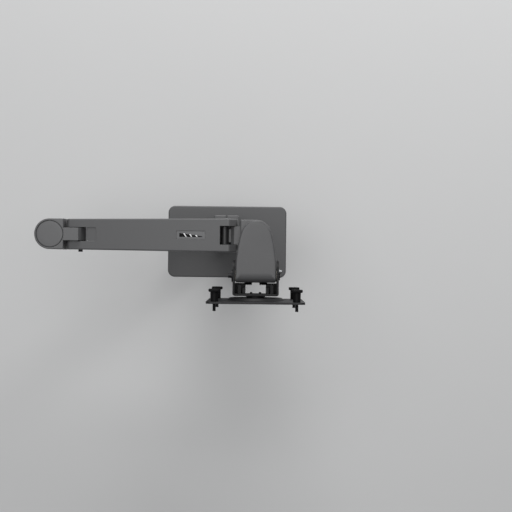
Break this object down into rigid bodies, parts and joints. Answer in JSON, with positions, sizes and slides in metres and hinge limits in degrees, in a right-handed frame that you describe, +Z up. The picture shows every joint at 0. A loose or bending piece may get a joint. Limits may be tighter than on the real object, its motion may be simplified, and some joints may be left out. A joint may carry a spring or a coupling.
{
  "type": "monitor arm",
  "caption": "Folding desk arm for a screen: clamped base plate, short post, swinging lower arm, gas-spring parallel upper arm, panning and tilting head with a square screen plate.",
  "frame": {"origin": "on the desk surface, under the centre of the post", "axes": "+Z up, -Y the way the screen plate faces, -X along the lower arm from post to elbow"},
  "size_m": [0.349, 0.1386, 0.403],
  "materials": {
    "grey_paint": "satin",
    "dark_paint": "satin",
    "black_plastic": "matte",
    "grey_plastic": "satin",
    "black_steel": "satin",
    "plated_steel": "brushed",
    "rubber": "matte",
    "nylon": "matte",
    "label_white": "satin",
    "label_black": "matte",
    "brass": "satin",
    "cast_grey": "satin"
  },
  "bodies": {
    "base": {"base_pad": "rubber", "base_plate": "grey_paint", "bracket_screws": "plated_steel", "clamp_bracket": "grey_paint", "post_screws": "plated_steel", "post": "dark_paint", "post_cap": "black_plastic", "post_collar": "cast_grey", "collar_screw": "plated_steel"},
    "clamp_foot": {"clamp_foot": "dark_paint", "clamp_foot_rubber": "rubber"},
    "clamp_spindle": {"clamp_spindle": "plated_steel", "clamp_knob": "black_plastic"},
    "lower_arm": {"lower_arm": "cast_grey", "post_bushes": "nylon", "elbow_bushes": "nylon", "cable_cover": "black_plastic", "cable_clips": "black_plastic"},
    "elbow": {"elbow_shaft": "plated_steel", "elbow_washer": "plated_steel", "elbow_bolt": "plated_steel", "elbow_knuckle": "cast_grey", "elbow_cap": "grey_plastic", "link_pin_elbow": "plated_steel"},
    "upper_arm": {"upper_arm_shell": "cast_grey", "pivot_pin_elbow": "black_steel", "pivot_pin_head": "black_steel", "upper_arm_cover": "black_plastic", "gauge_label": "label_white", "gauge_marks": "label_black", "spring_anchor": "dark_paint", "spring_pin": "plated_steel", "tension_frame": "dark_paint"},
    "lower_link": {"lower_link": "dark_paint"},
    "gas_spring_rod": {"gas_spring_rod": "plated_steel"},
    "gas_spring_cylinder": {"gas_spring_cylinder": "black_steel"},
    "tension_nut": {"tension_nut": "brass"},
    "tension_screw": {"tension_screw": "plated_steel"},
    "head_knuckle": {"head_knuckle": "cast_grey", "link_pin_head": "plated_steel", "pan_shaft": "plated_steel", "pan_nut": "plated_steel"},
    "swivel_head": {"swivel_head": "cast_grey", "pan_bush": "nylon", "head_cover": "grey_plastic", "tilt_spacers": "nylon", "tilt_springs": "black_steel"},
    "tilt_yoke": {"tilt_yoke": "dark_paint", "tilt_bolt": "black_steel", "tilt_nut": "black_steel", "tilt_stop_pin": "plated_steel", "yoke_rivets": "black_steel", "rotation_pivot": "dark_paint"},
    "screen_plate": {"rotation_disc": "dark_paint", "screen_plate": "dark_paint", "disc_rivets": "black_steel"},
    "thumbscrew_upper_left": {"thumbscrew_upper_left": "black_plastic"},
    "thumbscrew_upper_right": {"thumbscrew_upper_right": "black_plastic"},
    "thumbscrew_lower_left": {"thumbscrew_lower_left": "black_plastic"},
    "thumbscrew_lower_right": {"thumbscrew_lower_right": "black_plastic"}
  },
  "joints": [
    {"name": "base_swivel", "type": "hinge", "parent": "base", "child": "lower_arm", "pos_m": [0, 0, 0.069], "axis": [0, 0, 1], "range_deg": [-5, 185]},
    {"name": "elbow_swivel", "type": "hinge", "parent": "lower_arm", "child": "elbow", "pos_m": [-0.227, 0, 0.0885], "axis": [0, 0, 1], "range_deg": [-180, 180]},
    {"name": "arm_lift", "type": "hinge", "parent": "elbow", "child": "upper_arm", "pos_m": [-0.1895, 0, 0.148], "axis": [0, -1, 0], "range_deg": [-16, 26]},
    {"name": "head_level", "type": "hinge", "parent": "upper_arm", "child": "head_knuckle", "pos_m": [0.00152, 0, 0.17825], "axis": [0, -1, 0], "range_deg": [-26.01, 16.01]},
    {"name": "link_swing", "type": "hinge", "parent": "elbow", "child": "lower_link", "pos_m": [-0.1895, 0, 0.13], "axis": [0, -1, 0], "range_deg": [-16.01, 26.01]},
    {"name": "spring_rod_swing", "type": "hinge", "parent": "elbow", "child": "gas_spring_rod", "pos_m": [-0.1895, 0, 0.13], "axis": [0, -1, 0], "range_deg": [-16.01, 26.01]},
    {"name": "spring_cylinder_swing", "type": "hinge", "parent": "upper_arm", "child": "gas_spring_cylinder", "pos_m": [-0.06261, 0, 0.16506], "axis": [0, -1, 0], "range_deg": [-1.3, 1.3]},
    {"name": "tension_travel", "type": "slide", "parent": "upper_arm", "child": "tension_nut", "axis": [-0.1564, 0, 0.9877], "range_m": [-0.003, 0.003]},
    {"name": "tension_turn", "type": "hinge", "parent": "upper_arm", "child": "tension_screw", "pos_m": [-0.04233, 0, 0.17131], "axis": [-0.1564, 0, 0.9877], "range_deg": [-1081, 1081]},
    {"name": "head_pan", "type": "hinge", "parent": "head_knuckle", "child": "swivel_head", "pos_m": [0.042, 0, 0.2], "axis": [0, 0, 1], "range_deg": [-10, 190]},
    {"name": "head_tilt", "type": "hinge", "parent": "swivel_head", "child": "tilt_yoke", "pos_m": [0.042, -0.051, 0.215], "axis": [-1, 0, 0], "range_deg": [-20, 25]},
    {"name": "screen_rotate", "type": "hinge", "parent": "tilt_yoke", "child": "screen_plate", "pos_m": [0.042, -0.0783, 0.215], "axis": [0, -1, 0], "range_deg": [-90, 90]},
    {"name": "clamp_travel", "type": "slide", "parent": "base", "child": "clamp_foot", "axis": [0, 0, 1], "range_m": [-0.025, 0.02]},
    {"name": "clamp_turn", "type": "hinge", "parent": "clamp_foot", "child": "clamp_spindle", "pos_m": [0, 0.005, -0.08], "axis": [0, 0, 1], "range_deg": [-6005, 4805]},
    {"name": "thumbscrew_turn_upper_left", "type": "hinge", "parent": "screen_plate", "child": "thumbscrew_upper_left", "pos_m": [-0.008, -0.07, 0.265], "axis": [0, -1, 0], "range_deg": [-720, 720]},
    {"name": "thumbscrew_turn_upper_right", "type": "hinge", "parent": "screen_plate", "child": "thumbscrew_upper_right", "pos_m": [0.092, -0.07, 0.265], "axis": [0, -1, 0], "range_deg": [-720, 720]},
    {"name": "thumbscrew_turn_lower_left", "type": "hinge", "parent": "screen_plate", "child": "thumbscrew_lower_left", "pos_m": [-0.008, -0.07, 0.165], "axis": [0, -1, 0], "range_deg": [-720, 720]},
    {"name": "thumbscrew_turn_lower_right", "type": "hinge", "parent": "screen_plate", "child": "thumbscrew_lower_right", "pos_m": [0.092, -0.07, 0.165], "axis": [0, -1, 0], "range_deg": [-720, 720]}
  ],
  "couplings": [
    {"joint": "head_level", "follows": "arm_lift", "ratio": -1},
    {"joint": "link_swing", "follows": "arm_lift", "ratio": 1},
    {"joint": "spring_rod_swing", "follows": "arm_lift", "ratio": 0.954},
    {"joint": "spring_cylinder_swing", "follows": "arm_lift", "ratio": -0.046},
    {"joint": "tension_turn", "follows": "tension_travel", "rad_per_m": 6283.2},
    {"joint": "clamp_turn", "follows": "clamp_travel", "rad_per_m": 4188.8}
  ]
}
